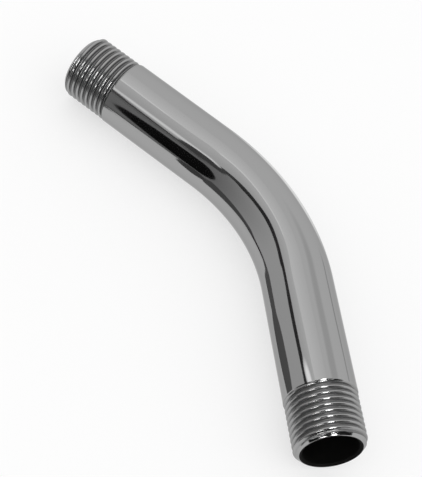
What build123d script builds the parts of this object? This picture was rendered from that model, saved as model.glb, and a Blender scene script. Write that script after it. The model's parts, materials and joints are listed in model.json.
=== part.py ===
from build123d import *
from math import radians, tan
import os

# A wall-mounted shower arm: one length of brass tube, turned at both ends for a pipe thread and
# bent once. It lies with its bend plane level. The wall plane is X = 0, where the inlet thread
# ends: the thread points along -X into the wall, and the arm reaches out along +X and bends to -Y.
# All sizes are in millimetres and degrees.

# Thread blanks: crest diameter of a half-inch parallel pipe thread, and its length to the end face
thread_diameter = 20.955
thread_length = 16.0

# Tube: how far its skin stands proud of the thread crests, and its wall
skin_over_thread = 0.1725
wall_thickness = 2.6

# Centre line: straight legs measured from each end face to the bend, and the bend itself
inlet_leg = 52.0
outlet_leg = 55.0
bend_radius = 67.0
bend_angle = 45.0

# Turned edges: lead-in chamfer outside, reamed chamfer inside, and the cone where the thread fades out
lead_in = 1.5
reamed_edge = 0.6
fade_out_angle = 15.0

# Worked-out sizes
thread_radius = thread_diameter / 2
tube_radius = thread_radius + skin_over_thread
bore_radius = tube_radius - wall_thickness
fade_out_length = skin_over_thread / tan(radians(fade_out_angle))

# Tool overrun, so that each turning cut starts and ends in the open
overrun = 1.0
overrun_on_cone = overrun / tan(radians(fade_out_angle))

with BuildPart() as shower_arm:
    # The tube, swept along its centre line from the inlet to the outlet
    with BuildLine() as centre_line:
        inlet_run = Line((-thread_length, 0), (inlet_leg - thread_length, 0))
        bend = JernArc(inlet_run @ 1, inlet_run % 1, bend_radius, -bend_angle)
        Line(bend @ 1, bend @ 1 + (bend % 1) * outlet_leg)
    with BuildSketch(centre_line.line ^ 0):
        Circle(tube_radius)
        Circle(bore_radius, mode=Mode.SUBTRACT)
    sweep()

    # Both ends are turned alike. In each turning plane, X runs from the end face into the tube,
    # along the leg's axis, and Y is the radius.
    inlet_turning = Plane(centre_line.line @ 0, x_dir=centre_line.line % 0, z_dir=(0, 0, 1))
    outlet_turning = Plane(centre_line.line @ 1, x_dir=-(centre_line.line % 1), z_dir=(0, 0, 1))
    for turning in (inlet_turning, outlet_turning):
        with BuildSketch(turning):
            # Outside: lead-in chamfer, thread blank, fade-out cone
            with BuildLine():
                Polyline(
                    (-overrun, thread_radius - lead_in - overrun),
                    (lead_in, thread_radius),
                    (thread_length, thread_radius),
                    (thread_length + fade_out_length + overrun_on_cone, tube_radius + overrun),
                    (-overrun, tube_radius + overrun),
                    close=True,
                )
            make_face()
            # Inside: the reamed edge of the bore
            with BuildLine():
                Polyline(
                    (-overrun, bore_radius + reamed_edge + overrun),
                    (reamed_edge + overrun, bore_radius - overrun),
                    (-overrun, bore_radius - overrun),
                    close=True,
                )
            make_face()
        revolve(axis=Axis(turning.origin, turning.x_dir), mode=Mode.SUBTRACT)

shower_arm.part.label = "shower_arm"
os.makedirs("parts", exist_ok=True)
export_step(shower_arm.part, "parts/shower_arm.step")
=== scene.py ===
import json
from math import atan2, ceil, cos, hypot, pi, radians, sin, tan

import bmesh
import bpy
from mathutils import Matrix, Vector


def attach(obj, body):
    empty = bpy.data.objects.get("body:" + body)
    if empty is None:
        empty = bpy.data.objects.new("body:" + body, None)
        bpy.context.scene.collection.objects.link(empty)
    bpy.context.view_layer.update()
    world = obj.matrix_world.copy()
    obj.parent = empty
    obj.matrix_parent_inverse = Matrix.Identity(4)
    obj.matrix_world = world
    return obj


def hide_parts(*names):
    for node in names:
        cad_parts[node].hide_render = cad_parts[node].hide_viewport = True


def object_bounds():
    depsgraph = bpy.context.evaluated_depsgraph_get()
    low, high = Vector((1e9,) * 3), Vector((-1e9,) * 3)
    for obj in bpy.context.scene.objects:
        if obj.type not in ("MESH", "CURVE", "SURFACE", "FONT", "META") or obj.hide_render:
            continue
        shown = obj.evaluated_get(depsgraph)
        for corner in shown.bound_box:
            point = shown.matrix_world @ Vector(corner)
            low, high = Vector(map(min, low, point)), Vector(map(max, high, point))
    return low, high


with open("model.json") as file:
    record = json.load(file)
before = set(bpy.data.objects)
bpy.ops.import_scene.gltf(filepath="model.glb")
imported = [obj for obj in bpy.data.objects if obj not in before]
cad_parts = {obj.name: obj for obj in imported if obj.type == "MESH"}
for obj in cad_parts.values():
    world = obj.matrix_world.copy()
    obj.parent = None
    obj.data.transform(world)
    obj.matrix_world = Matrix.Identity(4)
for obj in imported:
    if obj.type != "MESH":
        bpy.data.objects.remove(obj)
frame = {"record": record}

# A bent, chrome-plated shower arm with a cut pipe thread at each end. It lies on a pale floor with its
# bend plane level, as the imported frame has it. Blender works in metres, and the arm's sizes are given in
# millimetres.
MM = 0.001
cad_low, cad_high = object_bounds()

# Sizes that the frame gives: the thread blanks, the tube, and the two end faces
mounts = {mount["name"]: mount for mount in frame["record"]["mounts"]}
inlet_out = Vector(mounts["inlet_thread"]["axis"]).normalized()
outlet_out = Vector(mounts["outlet_thread"]["axis"]).normalized()
thread_radius = mounts["inlet_thread"]["dims"]["r_mm"] * MM
thread_length = -cad_low.x
inlet_face = Vector(mounts["inlet_thread"]["pos_m"]) + thread_length * inlet_out
outlet_face = Vector(mounts["outlet_thread"]["pos_m"]) + thread_length * outlet_out
tube_radius = (cad_high.z - cad_low.z) / 2
floor_height = cad_low.z

# Sizes repeated from the part: the tube's wall, its bend, and the turned edges of each end
wall = 2.6 * MM
bore_radius = tube_radius - wall
bend_radius = 67 * MM
bend_angle = inlet_out.angle(-outlet_out)
lead_in = 1.5 * MM
reamed_edge = 0.6 * MM
fade_out_slope = tan(radians(15))
fade_out_end = thread_length + (tube_radius - thread_radius) / fade_out_slope

# The cut thread: 14 turns to the inch, flanks 55 degrees apart. Buffing and plate round its crests and
# roots alike, so that it is shallower than it was cut. The grooves deepen over the first turn, and at the
# inner end they rise to the skin where the die stopped.
inch = 25.4 * MM
pitch = inch / 14
half_flank_angle = radians(27.5)
tooth_rounding = 0.195 * pitch
tooth_depth = pitch / (2 * tan(half_flank_angle)) - 2 * tooth_rounding * (1 / sin(half_flank_angle) - 1)
rounding_sweep = pi / 2 - half_flank_angle
run_in_start = 0.6 * MM
run_in_slope = 1.2
run_out_slope = tan(radians(60))
edge_break = 0.08 * MM

# Where the threads start round the tube: the coil begins with a root before the end face, and the outlet
# end is turned by whole steps, so that its points still meet the tube's
first_root = -1.98 * pitch
outlet_turn_steps = 117

# The lip: the lead-in cone's 45 degrees are rolled over to the end face in small steps
lip_radius = 0.55 * MM
lip_tilts = [radians(tilt) for tilt in (45, 37, 30, 23, 16, 8, 0)]
face_edge = thread_radius - lead_in - lip_radius * tan(lip_tilts[0] / 2)
lip = [(face_edge + lip_radius * sin(tilt), lip_radius * (1 - cos(tilt))) for tilt in lip_tilts]
lip_start = lip[0][1]

# A short plain collar past the thread keeps the tube's skin true right up to it
collar_length = 0.3 * MM
collar_end = fade_out_end + collar_length

# How finely the arm is drawn, how close points are welded, and which edges stay sharp
steps_round = 128
steps_in_bend = 96
weld_distance = 0.002 * MM
joint_weld_distance = 0.01 * MM
sharp_angle = radians(40)


def select_edges(piece, wanted):
    """In edit mode, selects the edges that wanted picks, and nothing else."""
    bpy.ops.mesh.select_mode(type="EDGE")
    bpy.ops.mesh.select_all(action="DESELECT")
    shape = bmesh.from_edit_mesh(piece.data)
    for edge in shape.edges:
        edge.select_set(wanted(edge))
    bmesh.update_edit_mesh(piece.data)


def tooth_outline():
    """One tooth from root to root, as points with the radius along X and the arm's axis along Z."""
    turns = [rounding_sweep * share for share in (0, 0.5, 1)]
    root = thread_radius - tooth_depth + tooth_rounding
    crest = thread_radius - tooth_rounding
    rising = [
        Vector((root - tooth_rounding * cos(turn), 0, tooth_rounding * sin(turn)))
        for turn in turns
    ]
    top = [
        Vector((crest + tooth_rounding * cos(turn), 0, pitch / 2 - tooth_rounding * sin(turn)))
        for turn in reversed(turns)
    ]
    flank = [rising[-1].lerp(top[0], share) for share in (0.33, 0.67)]
    half = rising + flank + top
    return half + [Vector((point.x, 0, pitch - point.z)) for point in half[-2::-1]]


def turned_outside(z):
    """The blank's radius at z: the lead-in cone, the crests, and the cone where the thread fades out."""
    return min(thread_radius - lead_in + z, thread_radius + max(0, z - thread_length) * fade_out_slope)


def threaded_end(name):
    """One end of the arm on its own, its end face at z = 0 and the tube going up along +Z."""
    # A tooth is drawn by extruding one point, then repeated along the thread and screwed round
    outline = tooth_outline()
    bpy.ops.object.select_all(action="DESELECT")
    bpy.ops.mesh.primitive_plane_add(size=pitch)
    end = bpy.context.object
    end.name = name
    bpy.ops.object.mode_set(mode="EDIT")
    bpy.ops.mesh.merge(type="CENTER")
    bpy.ops.transform.translate(value=outline[0] + Vector((0, 0, first_root)))
    for here, there in zip(outline, outline[1:]):
        bpy.ops.mesh.extrude_vertices_move(TRANSFORM_OT_translate={"value": there - here})
    bpy.ops.object.mode_set(mode="OBJECT")
    repeat = end.modifiers.new("teeth", "ARRAY")
    repeat.use_relative_offset = False
    repeat.use_constant_offset = True
    repeat.constant_offset_displace = (0, 0, pitch)
    repeat.count = ceil((fade_out_end - first_root) / pitch) + 1
    repeat.use_merge_vertices = True
    repeat.merge_threshold = weld_distance
    bpy.ops.object.modifier_apply(modifier=repeat.name)
    helix = end.modifiers.new("helix", "SCREW")
    helix.axis = "Z"
    helix.angle = 2 * pi
    helix.screw_offset = pitch
    helix.steps = steps_round
    helix.render_steps = steps_round
    bpy.ops.object.modifier_apply(modifier=helix.name)

    # The coil is turned to the blank: cut off flat at both ends, its crests kept under the blank's
    # outside, and its roots raised where the thread runs in and out
    for vertex in end.data.vertices:
        radius = hypot(vertex.co.x, vertex.co.y)
        z = min(max(vertex.co.z, lip_start), fade_out_end)
        run_in = turned_outside(z) - max(0, z - run_in_start) * run_in_slope
        run_out = tube_radius - (fade_out_end - z) * run_out_slope
        turned = max(min(radius, turned_outside(z)), run_in, run_out)
        vertex.co = (vertex.co.x * turned / radius, vertex.co.y * turned / radius, z)
    bpy.ops.object.mode_set(mode="EDIT")
    bpy.ops.mesh.select_all(action="SELECT")
    bpy.ops.mesh.remove_doubles(threshold=weld_distance)

    # From the lead-in cone's edge the lip, the end face, the reamed edge and the bore are extruded ring
    # by ring, with the inner corner of the face slightly broken
    inner_corner = bore_radius + reamed_edge
    rings = lip + [
        (inner_corner + edge_break, 0),
        (inner_corner, edge_break / 4),
        (inner_corner - edge_break, edge_break),
        (bore_radius, reamed_edge),
        (bore_radius, collar_end),
    ]
    select_edges(end, lambda edge: edge.is_boundary and edge.verts[0].co.z < fade_out_end / 2)
    for (radius, z), (next_radius, next_z) in zip(rings, rings[1:]):
        bpy.ops.mesh.extrude_edges_move(TRANSFORM_OT_translate={"value": (0, 0, next_z - z)})
        shrink = next_radius / radius
        bpy.ops.transform.resize(value=(shrink, shrink, 1), center_override=(0, 0, next_z))

    # The collar is extruded from the thread's inner end
    skin_end = fade_out_end + collar_length / 2
    select_edges(end, lambda edge: edge.is_boundary and edge.verts[0].co.z < skin_end)
    bpy.ops.mesh.extrude_edges_move(TRANSFORM_OT_translate={"value": (0, 0, collar_length)})
    bpy.ops.object.mode_set(mode="OBJECT")
    return end


def place_end(end, face, out):
    """Turns an end so that its face looks along out, and moves it to its place on the arm."""
    bpy.ops.object.select_all(action="DESELECT")
    end.select_set(True)
    bpy.context.view_layer.objects.active = end
    end.rotation_euler = (0, pi / 2, atan2(-out.y, -out.x))
    end.location = face
    bpy.ops.object.transform_apply(location=True, rotation=True, scale=True)


# The two ends: one is modelled, and the other is its copy
arm = threaded_end("threaded_arm")
bpy.ops.object.duplicate(linked=False)
outlet_end = bpy.context.object
outlet_end.rotation_euler.z = outlet_turn_steps * 2 * pi / steps_round
bpy.ops.object.transform_apply(location=False, rotation=True, scale=False)
place_end(outlet_end, outlet_face, outlet_out)
place_end(arm, inlet_face, inlet_out)

# The tube between them: skin and bore are drawn out of the inlet end along the first leg, spun round
# the bend, and drawn along the second leg to the outlet end
corner_distance = outlet_face.x - outlet_face.y * outlet_out.x / outlet_out.y
bend_start = Vector((corner_distance - bend_radius * tan(bend_angle / 2), 0, 0))
bend_centre = bend_start - Vector((0, bend_radius, 0))
bend_end = bend_centre + bend_radius * Vector((sin(bend_angle), cos(bend_angle), 0))
inlet_run = bend_start - (inlet_face - collar_end * inlet_out)
outlet_run = outlet_face - collar_end * outlet_out - bend_end
bpy.ops.object.mode_set(mode="EDIT")
select_edges(arm, lambda edge: edge.is_boundary)
bpy.ops.mesh.extrude_edges_move(TRANSFORM_OT_translate={"value": inlet_run})
bpy.ops.mesh.spin(steps=steps_in_bend, angle=bend_angle, center=bend_centre, axis=(0, 0, 1))
bpy.ops.mesh.extrude_edges_move(TRANSFORM_OT_translate={"value": outlet_run})
bpy.ops.object.mode_set(mode="OBJECT")
outlet_end.select_set(True)
bpy.ops.object.join()
bpy.ops.object.mode_set(mode="EDIT")
bpy.ops.mesh.select_all(action="SELECT")
bpy.ops.mesh.remove_doubles(threshold=joint_weld_distance)
bpy.ops.mesh.normals_make_consistent(inside=False)
bpy.ops.object.mode_set(mode="OBJECT")
bpy.ops.object.shade_smooth_by_angle(angle=sharp_angle)


def linear(hex_colour):
    """An sRGB hex colour as linear red, green, blue and alpha."""
    channels = [int(hex_colour[i : i + 2], 16) / 255 for i in (1, 3, 5)]
    return [c / 12.92 if c <= 0.04045 else ((c + 0.055) / 1.055) ** 2.4 for c in channels] + [1]


def add_node(tree, kind, inputs=None, **settings):
    """Adds a node with its settings, its inputs given as plain values or as other nodes' outputs."""
    node = tree.nodes.new(kind)
    for name, value in settings.items():
        setattr(node, name, value)
    for name, value in (inputs or {}).items():
        if isinstance(value, bpy.types.NodeSocket):
            tree.links.new(value, node.inputs[name])
        else:
            node.inputs[name].default_value = value
    return node


def new_material(name):
    """An empty node material and its node tree."""
    material = bpy.data.materials.new(name)
    material.use_nodes = True
    material.node_tree.nodes.clear()
    return material, material.node_tree


# Polished chrome plate: nickel and chrome over a buffed tube. It mirrors the studio sharply, a little
# bent by the long swells that buffing leaves, and its gloss wavers slightly. The swells are drawn deeper
# than they are, so that they show.
swell_length = 22 * MM
swell_height = 0.16 * MM
haze_size = 6 * MM
chrome, tree = new_material("polished_chrome_plate")
place = add_node(tree, "ShaderNodeTexCoord").outputs["Object"]
swell = add_node(tree, "ShaderNodeTexNoise", {"Vector": place, "Scale": 1 / swell_length, "Detail": 1.0})
haze = add_node(tree, "ShaderNodeTexNoise", {"Vector": place, "Scale": 1 / haze_size, "Detail": 4.0})
gloss = add_node(
    tree,
    "ShaderNodeMapRange",
    {"Value": haze.outputs["Fac"], "To Min": 0.04, "To Max": 0.09},
)
bump = add_node(
    tree,
    "ShaderNodeBump",
    {"Height": swell.outputs["Fac"], "Strength": 1.0, "Distance": swell_height},
)
shader = add_node(
    tree,
    "ShaderNodeBsdfPrincipled",
    {
        "Base Color": linear("#9E9E9E"),
        "Metallic": 1.0,
        "Roughness": gloss.outputs["Result"],
        "Specular Tint": linear("#D4D4D4"),
        "Normal": bump.outputs["Normal"],
    },
)
add_node(tree, "ShaderNodeOutputMaterial", {"Surface": shader.outputs["BSDF"]})

# Plated thread: the same plate over a cut surface with fine tool marks, bright on the crests. The bath
# throws little metal into the roots, which stay dull; their darker colour is painted shade in the grooves.
mark_size = 0.8 * MM
mark_height = 0.006 * MM
root_dulling = 0.3
plated_thread, tree = new_material("plated_cut_thread")
place = add_node(tree, "ShaderNodeTexCoord").outputs["Object"]
groove = add_node(tree, "ShaderNodeAttribute", attribute_name="groove").outputs["Fac"]
marks = add_node(tree, "ShaderNodeTexNoise", {"Vector": place, "Scale": 1 / mark_size, "Detail": 3.0})
# Painted shade: the colour darkens from the crests' #A0A0A0 to #727272 in the roots, by the groove's depth
shade = add_node(
    tree,
    "ShaderNodeMix",
    {"Factor": groove, "A": linear("#A0A0A0"), "B": linear("#727272")},
    data_type="RGBA",
)
dulled = add_node(tree, "ShaderNodeMath", {0: groove, 1: root_dulling}, operation="MULTIPLY")
satin = add_node(
    tree,
    "ShaderNodeMapRange",
    {"Value": marks.outputs["Fac"], "To Min": 0.06, "To Max": 0.14},
)
gloss = add_node(
    tree,
    "ShaderNodeMath",
    {0: satin.outputs["Result"], 1: dulled.outputs["Value"]},
    operation="ADD",
)
bump = add_node(
    tree,
    "ShaderNodeBump",
    {"Height": marks.outputs["Fac"], "Strength": 1.0, "Distance": mark_height},
)
shader = add_node(
    tree,
    "ShaderNodeBsdfPrincipled",
    {
        "Base Color": shade.outputs["Result"],
        "Metallic": 1.0,
        "Roughness": gloss.outputs["Value"],
        "Specular Tint": linear("#D4D4D4"),
        "Normal": bump.outputs["Normal"],
    },
)
add_node(tree, "ShaderNodeOutputMaterial", {"Surface": shader.outputs["BSDF"]})

# Tarnished bore: bare brass inside the tube, dulled by water, in faint patches. Its near-black colour is
# also painted shade for the tube's dark inside.
tarnish_size = 3 * MM
bore, tree = new_material("tarnished_bore_and_painted_shade")
place = add_node(tree, "ShaderNodeTexCoord").outputs["Object"]
tarnish = add_node(tree, "ShaderNodeTexNoise", {"Vector": place, "Scale": 1 / tarnish_size, "Detail": 4.0})
# Partly painted shade: both tarnish colours are near black
shade = add_node(
    tree,
    "ShaderNodeMix",
    {"Factor": tarnish.outputs["Fac"], "A": linear("#040403"), "B": linear("#0B0A08")},
    data_type="RGBA",
)
shader = add_node(
    tree,
    "ShaderNodeBsdfPrincipled",
    {"Base Color": shade.outputs["Result"], "Roughness": 0.8, "Specular IOR Level": 0.1},
)
add_node(tree, "ShaderNodeOutputMaterial", {"Surface": shader.outputs["BSDF"]})


def off_axis(point):
    """How far a point is from the arm's centre line."""
    along_outlet = (point - bend_end).dot(outlet_out)
    if point.x < bend_start.x:
        return hypot(point.y, point.z)
    if along_outlet > 0:
        return (point - bend_end - along_outlet * outlet_out).length
    return hypot((point - bend_centre).to_2d().length - bend_radius, point.z)


def end_depth(point):
    """How far a point is from the nearer end face, along the arm."""
    return min((inlet_face - point).dot(inlet_out), (outlet_face - point).dot(outlet_out))


# Each face of the arm takes its finish by its place: the bore, the thread, or the polished skin. The
# thread's finish also reads how deep each point lies in its groove.
finishes = [chrome, plated_thread, bore]
bore_limit = thread_radius - lead_in - edge_break
for finish in finishes:
    arm.data.materials.append(finish)
for face in arm.data.polygons:
    if off_axis(face.center) < bore_limit:
        face.material_index = finishes.index(bore)
    elif end_depth(face.center) < fade_out_end:
        face.material_index = finishes.index(plated_thread)
# How deep each point lies in its groove: this darkens the thread's roots as painted shade and dulls them
groove = arm.data.attributes.new("groove", "FLOAT", "POINT")
for vertex, depth in zip(arm.data.vertices, groove.data):
    blank_radius = turned_outside(end_depth(vertex.co))
    depth.value = min(max((blank_radius - off_axis(vertex.co)) / tooth_depth, 0), 1)

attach(arm, "root")
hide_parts("shower_arm")

# Floor: matt white paper, wide enough for every view. More than half of the white that is seen of it is
# its own, which keeps the floor pale and the arm's shadow light.
floor_size = 8.0
own_white = 0.6
bpy.ops.object.select_all(action="DESELECT")
bpy.ops.mesh.primitive_plane_add(size=floor_size, location=(0, 0, floor_height))
floor = bpy.context.object
floor.name = "paper_floor"
floor.visible_glossy = False
paper, tree = new_material("matt_white_paper")
shadowed = add_node(tree, "ShaderNodeBsdfDiffuse", {"Color": linear("#FBFBFB")})
white = add_node(tree, "ShaderNodeEmission", {"Color": linear("#FFFFFF"), "Strength": 1.0})
rays = add_node(tree, "ShaderNodeLightPath").outputs
seen = rays["Is Camera Ray"]
for mirrored in ("Is Glossy Ray", "Is Transmission Ray"):
    either = add_node(tree, "ShaderNodeMath", {0: seen, 1: rays[mirrored]}, operation="MAXIMUM")
    seen = either.outputs["Value"]
share = add_node(tree, "ShaderNodeMath", {0: seen, 1: own_white}, operation="MULTIPLY")
shader = add_node(
    tree,
    "ShaderNodeMixShader",
    {"Fac": share.outputs["Value"], 1: shadowed.outputs["BSDF"], 2: white.outputs["Emission"]},
)
add_node(tree, "ShaderNodeOutputMaterial", {"Surface": shader.outputs["Shader"]})
floor.data.materials.append(paper)

# Studio: a white tent all round
world = bpy.data.worlds.new("white_tent")
world.use_nodes = True
world.node_tree.nodes["Background"].inputs["Color"].default_value = linear("#FFFFFF")
bpy.context.scene.world = world

# What hangs in the tent, in metres from the arm: most of it at the tent's distance, some of it a little
# in front of or behind the rest, and a few small things close to the bend or to the outlet thread
in_front = 3.8
just_in_front = 3.9
tent_distance = 4.0
behind = 4.2
further_behind = 4.3
furthest_behind = 4.4
stand_distance = 0.28
beside_bend = 0.108
beside_outlet = 0.07
over_outlet = 0.15
outlet_thread_middle = outlet_face - 10 * MM * outlet_out
round_steps = 96
corner_steps = 8


def new_glow(name, left, right=None, middle=None):
    """A surface that sends out that share of the tent's light. The share may change from left to right,
    or change smoothly towards the middle of a round card."""
    material, tree = new_material(name)
    place = add_node(tree, "ShaderNodeTexCoord").outputs["Object"]
    across = add_node(tree, "ShaderNodeSeparateXYZ", {"Vector": place}).outputs["Y"]
    share = {"Value": across, "From Min": -0.5, "From Max": 0.5, "To Min": left, "To Max": right or left}
    if middle:
        inwards = add_node(tree, "ShaderNodeTexGradient", {"Vector": place}, gradient_type="SPHERICAL")
        share.update({"Value": inwards.outputs["Fac"], "From Min": 0, "From Max": 0.6, "To Max": middle})
    strength = add_node(tree, "ShaderNodeMapRange", share, interpolation_type="SMOOTHSTEP")
    shader = add_node(
        tree,
        "ShaderNodeEmission",
        {"Color": linear("#FFFFFF"), "Strength": strength.outputs["Result"]},
    )
    add_node(tree, "ShaderNodeOutputMaterial", {"Surface": shader.outputs["Emission"]})
    return material


def hang_card(card, azimuth, elevation, distance, about=Vector()):
    """Hangs a card, drawn at a distance of 1, in that direction from a point of the arm. The arm mirrors
    it, and the camera doesn't see it."""
    card.scale *= distance
    card.rotation_euler = (0, radians(90 - elevation), radians(azimuth))
    card.location = about + distance * (card.rotation_euler.to_matrix() @ Vector((0, 0, 1)))
    card.visible_camera = False
    card.visible_diffuse = False
    card.visible_shadow = False


def round_card(name, azimuth, elevation, tall, wide, glow, distance=tent_distance, about=Vector()):
    """A round card at an azimuth and elevation from the arm, under those half angles."""
    bpy.ops.object.select_all(action="DESELECT")
    bpy.ops.mesh.primitive_circle_add(vertices=round_steps, radius=1, fill_type="NGON")
    card = bpy.context.object
    card.name = name
    card.data.materials.append(glow)
    card.scale = (tan(radians(tall)), tan(radians(wide)), 1)
    hang_card(card, azimuth, elevation, distance, about)


def cut_card(
    name, azimuth, elevation, corners, rounding, glow, hem=0, hem_glow=None, distance=tent_distance
):
    """A card with rounded corners, each given by its own azimuth and elevation. A hem may run round it."""
    bpy.ops.object.select_all(action="DESELECT")
    bpy.ops.mesh.primitive_circle_add(vertices=len(corners), radius=1, fill_type="NGON")
    card = bpy.context.object
    card.name = name
    facing = Matrix.Rotation(radians(azimuth), 3, "Z") @ Matrix.Rotation(radians(90 - elevation), 3, "Y")
    for corner, (across, up) in zip(card.data.vertices, corners):
        level = cos(radians(up))
        ray = Vector((level * cos(radians(across)), level * sin(radians(across)), sin(radians(up))))
        ray = facing.transposed() @ ray
        corner.co = (ray.x / ray.z, ray.y / ray.z, 0)
    card.data.materials.append(glow)
    bpy.ops.object.mode_set(mode="EDIT")
    bpy.ops.mesh.select_all(action="SELECT")
    bpy.ops.mesh.bevel(offset=tan(radians(rounding)), segments=corner_steps, affect="VERTICES")
    if hem:
        bpy.ops.mesh.select_all(action="SELECT")
        bpy.ops.mesh.inset(thickness=tan(radians(hem)))
        card.data.materials.append(hem_glow)
    bpy.ops.object.mode_set(mode="OBJECT")
    panel = max(card.data.polygons, key=lambda face: face.area)
    for face in card.data.polygons:
        face.material_index = int(face != panel)
    hang_card(card, azimuth, elevation, distance)


# The tent's grey doorway with its dark hem, doubled at the top left, which the inside of the bend mirrors
# as a grey band with a dark line above it, the folds at the doorway's foot, which it mirrors as a dark line
# below, and the dimmer cloth round it all
doorway_corners = (
    (-98, -18), (-98, 28), (-113.5, 34.5), (-118, 43), (-130, 46), (-144, 47.5), (-162, 46),
    (-171, 34), (-181, 30), (-181, -21),
)
doubled_hem_corners = (
    (-131, 40), (-136, 37.8), (-144, 39), (-152, 38.3), (-157.5, 35.8), (-163, 31.5), (-167, 26),
    (-170, 24.5), (-173, 26), (-181, 27.5), (-181, 29), (-171, 33), (-163, 42), (-146, 44),
)
right_fold_corners = ((-111, -24), (-116, -13), (-146, -15.3), (-155, -22), (-146, -24), (-116, -34))
left_fold_corners = (
    (-157, -21.5), (-166, -20.5), (-171, -17.5), (-182, -15), (-182, -38), (-174, -34.5), (-168, -26.5)
)
grey = new_glow("grey_doorway", 0.74, 0.3)
dark = new_glow("dark_hem", 0.03, 0.12)
left_fold = new_glow("left_fold", 0.17)
cut_card("tent_doorway", -137, 10, doorway_corners, 3, grey, 9.5, dark)
cut_card("doubled_hem", -158, 33, doubled_hem_corners, 0.5, new_glow("doubled_hem", 0.05), distance=in_front)
cut_card("right_fold", -130, -22, right_fold_corners, 1, new_glow("right_fold", 0.13), distance=in_front)
cut_card("left_fold", -170, -26, left_fold_corners, 0.5, left_fold, distance=in_front)
round_card("dim_cloth", -138, 15, 54, 54, new_glow("dim_cloth", 1.0, middle=0.84), distance=furthest_behind)

# Close to the arm: a black stand with its foot and its top, which the inlet leg mirrors as a long dark
# leaf, and at the outlet thread a reflector, the near end of the left fold, and a black flag
stand = new_glow("stand_foot", 0.1)
reflector = new_glow("reflector", 1.0, middle=1.9)
black_flag = new_glow("black_flag", 0.02)
round_card("black_stand", -100, 3, 18, 8.3, new_glow("black_stand", 0.008), distance=stand_distance)
round_card("stand_foot", -103.5, -23, 9.5, 6, stand, beside_bend, bend_start)
round_card("stand_top", -109, 37, 6.3, 5, stand, beside_bend, bend_start)
round_card("reflector", -177, 40, 8, 5, reflector, beside_outlet, outlet_thread_middle)
round_card("near_fold", -176.5, -17, 12.5, 14, left_fold, beside_outlet, outlet_thread_middle)
round_card("black_flag", -8, 42, 15, 20, black_flag, over_outlet, outlet_thread_middle)

# The softbox overhead, brightest along its near edge, two bright gaps in the tent, and two dimmer seams
softbox_corners = ((172, 40), (175, 55), (188, 65), (212, 69), (212, 82), (100, 80), (118, 62), (133, 42))
softbox_edge_corners = ((175, 55), (188, 65), (212, 69), (207, 71), (184, 67), (172, 56))
softbox_edge = new_glow("softbox_edge", 1.5)
gap_over_doorway = new_glow("gap_over_doorway", 1.0, middle=1.5)
cut_card("overhead_softbox", 155, 63, softbox_corners, 1, new_glow("softbox", 1.03, 1.3))
cut_card("softbox_edge", 180, 60, softbox_edge_corners, 0.3, softbox_edge, distance=just_in_front)
round_card("gap_over_doorway", -113, 43, 5, 7, gap_over_doorway, distance=behind)
round_card("gap_behind", 96, -24, 13, 11, new_glow("gap_behind", 1.0, middle=1.95))
round_card("roof_seam", 87, 46, 13, 13, new_glow("roof_seam", 1.0, middle=0.8))
round_card("wall_seam", 75, 2, 3, 7, new_glow("wall_seam", 1.0, middle=0.6))

# The grey backcloth behind the camera, the black bench and table under it, and the three lamps that
# sparkle on the thread crests
upper_lamp_corners = ((-49, 33), (-34, 31), (-33, 44), (-55, 54))
lower_lamp_corners = ((-45, 23.5), (-33, 18), (-33, 26), (-46, 26))
left_lamp_corners = ((-70.5, 11), (-51, 6), (-56, 16), (-62, 17.5), (-68, 14))
round_card("grey_backcloth", -57, 45, 24, 28, new_glow("grey_backcloth", 0.08), distance=further_behind)
round_card("black_bench", -33, 21, 15, 38, new_glow("black_bench", 0.02), distance=behind)
round_card("black_table", -57, -2, 20, 33, new_glow("black_table", 0.02), distance=behind)
cut_card("upper_lamp", -42, 43, upper_lamp_corners, 1, new_glow("upper_lamp", 13))
cut_card("lower_lamp", -39, 27, lower_lamp_corners, 1, new_glow("lower_lamp", 20))
cut_card("left_lamp", -60, 12, left_lamp_corners, 1, new_glow("left_lamp", 12))

# Camera at the photograph's place, looking down on the arm and rolled as it was
camera_place = Vector((154.30, -277.47, 330.97)) * MM
camera_turn = radians(21.49)
camera_tilt = radians(90 - 50.66)
camera_roll = radians(19.96)
camera_data = bpy.data.cameras.new("photo_camera")
camera_data.sensor_width = 36
camera_data.lens = 109.34
camera_data.clip_start = 10 * MM
camera = bpy.data.objects.new("photo_camera", camera_data)
bpy.context.collection.objects.link(camera)
look = Matrix.Rotation(camera_turn, 4, "Z") @ Matrix.Rotation(camera_tilt, 4, "X")
look = look @ Matrix.Rotation(camera_roll, 4, "Z")
camera.matrix_world = Matrix.Translation(camera_place) @ look
bpy.context.scene.camera = camera
bpy.context.scene.view_settings.view_transform = "Standard"
